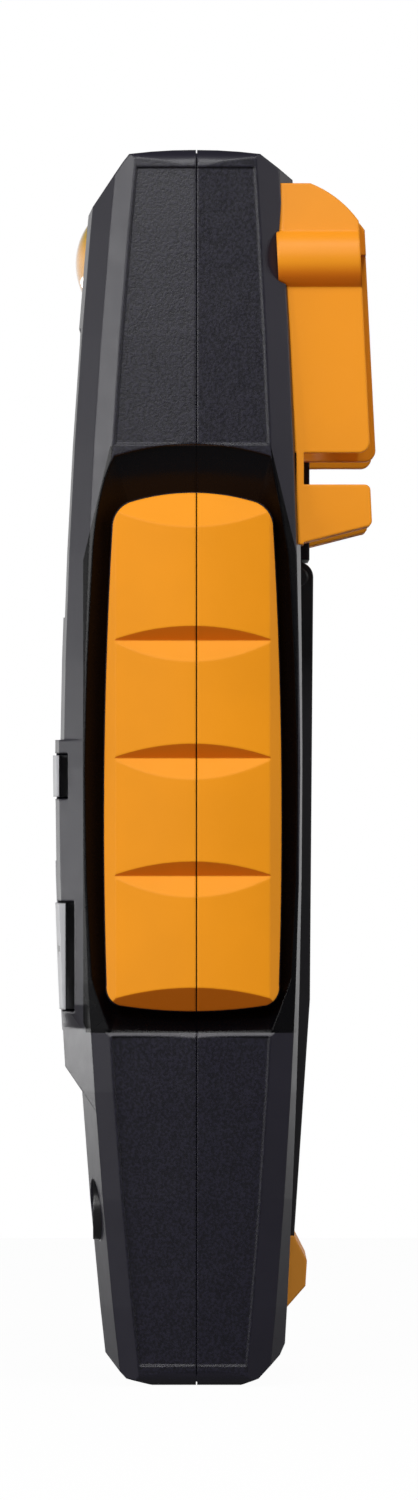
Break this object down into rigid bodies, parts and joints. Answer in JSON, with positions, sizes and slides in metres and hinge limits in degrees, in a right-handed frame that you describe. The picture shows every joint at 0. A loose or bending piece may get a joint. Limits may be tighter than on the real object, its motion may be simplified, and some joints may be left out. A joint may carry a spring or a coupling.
{
  "type": "handheld digital multimeter",
  "caption": "Slim handheld test meter with ribbed orange side grips, key block, recessed jacks, rear probe holder and fold-out stand.",
  "frame": {"origin": "middle of the flat bottom end, on the plane where the two housing halves part", "axes": "+Z along the length towards the display end, front faces -Y, back faces +Y, +X to the right seen from the front"},
  "size_m": [0.0858, 0.0438, 0.167],
  "materials": {
    "light_guide": "light guide plate",
    "badge_resin": "clear orange domed resin",
    "cell_jacket": "jacketed cells",
    "can_metal": "drawn can",
    "shunt_metal": "resistance alloy bar",
    "window_clear": "clear hard-coated window",
    "housing_black": "fine spark texture on the side panels, satin facets",
    "fuse_ceramic": "ceramic tube with metal caps",
    "spring_metal": "plated spring sheet",
    "grip_orange": "satin elastomer",
    "screw_steel": "blackened steel",
    "seal_black": "elastomer cord",
    "part_body": "coated bodies",
    "jack_black": "insulating shroud",
    "sleeve_brass": "turned and plated",
    "key_grey": "satin key caps",
    "mat_silicone": "silicone",
    "zebra_rubber": "layered connector strip",
    "inner_black": "moulded frame",
    "lcd_glass": "liquid crystal cell",
    "board_green": "glass epoxy with solder mask",
    "holder_orange": "satin moulding",
    "foot_orange": "satin elastomer",
    "stand_black": "fine texture"
  },
  "bodies": {
    "housing": {"backlight": "light_guide", "badge_dome": "badge_resin", "batteries": "cell_jacket", "battery_contacts": "spring_metal", "battery_door": "stand_black", "battery_door_screws": "screw_steel", "battery_springs": "spring_metal", "buzzer": "inner_black", "crystal": "can_metal", "current_shunt": "shunt_metal", "display_window": "window_clear", "front_shell": "housing_black", "fuse_10a": "fuse_ceramic", "fuse_clips": "spring_metal", "fuse_small": "fuse_ceramic", "grip_front_left": "grip_orange", "grip_front_right": "grip_orange", "grip_rear_left": "grip_orange", "grip_rear_right": "grip_orange", "holder_screws": "screw_steel", "housing_screws": "screw_steel", "housing_seal": "seal_black", "input_resistors": "part_body", "jack_insulators": "jack_black", "jack_sleeves": "sleeve_brass", "key_mat": "mat_silicone", "lcd_connector": "zebra_rubber", "lcd_frame": "inner_black", "lcd_panel": "lcd_glass", "main_board": "board_green", "measuring_chip": "inner_black", "probe_holder": "holder_orange", "rear_shell": "housing_black"},
    "stand": {"stand_leg": "stand_black", "stand_foot": "foot_orange"},
    "hold_key": {"key_hold": "key_grey"},
    "light_key": {"key_light": "key_grey"},
    "mode_key": {"key_mode": "key_grey"},
    "current_key": {"key_current": "key_grey"},
    "voltage_key": {"key_voltage": "key_grey"},
    "down_key": {"key_down": "key_grey"},
    "select_key": {"key_select": "key_grey"},
    "up_key": {"key_up": "key_grey"}
  },
  "joints": [
    {"name": "stand_fold", "type": "hinge", "parent": "housing", "child": "stand", "pos_m": [0, 0.0138, 0.1095], "axis": [1, 0, 0], "range_deg": [0, 60]},
    {"name": "hold_key_press", "type": "slide", "parent": "housing", "child": "hold_key", "axis": [0, 1, 0], "range_m": [0, 0.0006], "stiffness_N_per_m": 250},
    {"name": "light_key_press", "type": "slide", "parent": "housing", "child": "light_key", "axis": [0, 1, 0], "range_m": [0, 0.0006], "stiffness_N_per_m": 250},
    {"name": "mode_key_press", "type": "slide", "parent": "housing", "child": "mode_key", "axis": [0, 1, 0], "range_m": [0, 0.0006], "stiffness_N_per_m": 250},
    {"name": "current_key_press", "type": "slide", "parent": "housing", "child": "current_key", "axis": [0, 1, 0], "range_m": [0, 0.0006], "stiffness_N_per_m": 250},
    {"name": "voltage_key_press", "type": "slide", "parent": "housing", "child": "voltage_key", "axis": [0, 1, 0], "range_m": [0, 0.0006], "stiffness_N_per_m": 250},
    {"name": "down_key_press", "type": "slide", "parent": "housing", "child": "down_key", "axis": [0, 1, 0], "range_m": [0, 0.0006], "stiffness_N_per_m": 250},
    {"name": "select_key_press", "type": "slide", "parent": "housing", "child": "select_key", "axis": [0, 1, 0], "range_m": [0, 0.0006], "stiffness_N_per_m": 250},
    {"name": "up_key_press", "type": "slide", "parent": "housing", "child": "up_key", "axis": [0, 1, 0], "range_m": [0, 0.0006], "stiffness_N_per_m": 250}
  ]
}
